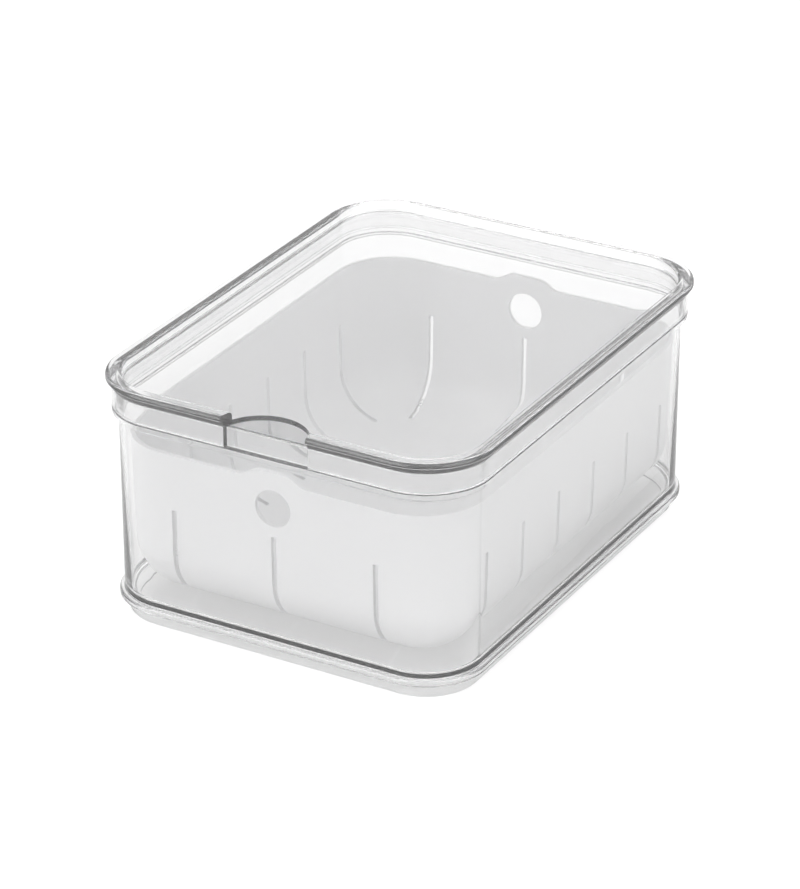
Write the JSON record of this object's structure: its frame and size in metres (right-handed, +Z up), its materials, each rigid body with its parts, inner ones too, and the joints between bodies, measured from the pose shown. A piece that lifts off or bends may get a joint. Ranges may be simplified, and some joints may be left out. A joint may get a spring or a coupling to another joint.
{
  "type": "berry keeper",
  "caption": "Clear rectangular food keeper: bin with banded base, lift-off lid with finger notch, and a slotted white colander that lifts out.",
  "frame": {"origin": "centre of the foot's outline, on the surface the keeper stands on", "axes": "+Z up, +Y along the long side, away from the end with the finger notch, +X along the short side"},
  "size_m": [0.1606, 0.2114, 0.0985],
  "materials": {
    "clear_plastic": "clear, polished moulding",
    "white_plastic": "opaque white, satin"
  },
  "bodies": {
    "bin": {"bin": "clear_plastic"},
    "colander": {"colander": "white_plastic"},
    "lid": {"lid": "clear_plastic"}
  },
  "joints": [
    {"name": "colander_lift", "type": "slide", "parent": "bin", "child": "colander", "axis": [0, 0, 1], "range_m": [0, 0.1]},
    {"name": "lid_lift", "type": "slide", "parent": "colander", "child": "lid", "axis": [0, 0, 1], "range_m": [0, 0.1]}
  ]
}
